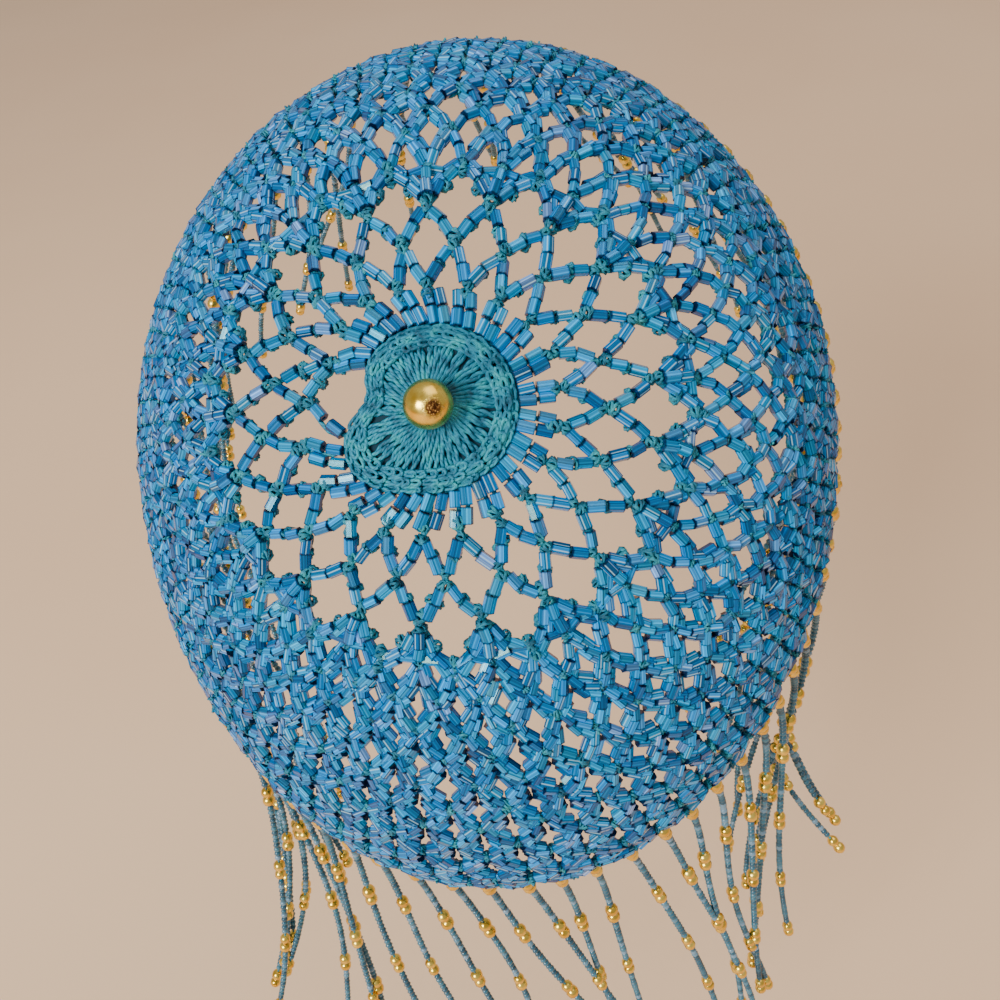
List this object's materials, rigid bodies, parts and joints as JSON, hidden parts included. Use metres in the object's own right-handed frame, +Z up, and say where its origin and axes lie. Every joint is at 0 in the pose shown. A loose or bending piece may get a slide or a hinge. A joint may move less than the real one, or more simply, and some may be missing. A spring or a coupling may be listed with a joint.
{
  "type": "crochet cap",
  "caption": "Domed beaded crochet skull cap with an open star of net at the crown, a round gold bead and a long beaded fringe at its hem.",
  "frame": {"origin": "where the crown of the head meets the inside of the cap, on the cap's own axis", "axes": "+Z up, -Y the way the forehead points, +X the wearer's left; the cap's axis is bowed 45 degrees from +Z towards -Y"},
  "size_m": [0.1944, 0.2328, 0.2547],
  "materials": {
    "gold_bead": "polished, worn in one spot",
    "teal_cotton": "twisted mercerised cotton, crocheted",
    "blue_beads": "clear blue cut glass with a faint rainbow coat",
    "fringe_beads": "small round glass beads on thread"
  },
  "bodies": {
    "root": {"crown_bead": "gold_bead", "medallion": "teal_cotton", "bead_collar": "blue_beads", "crown_net": "blue_beads", "side_net": "blue_beads", "hem_band": "teal_cotton", "fringe": "fringe_beads"}
  },
  "joints": []
}
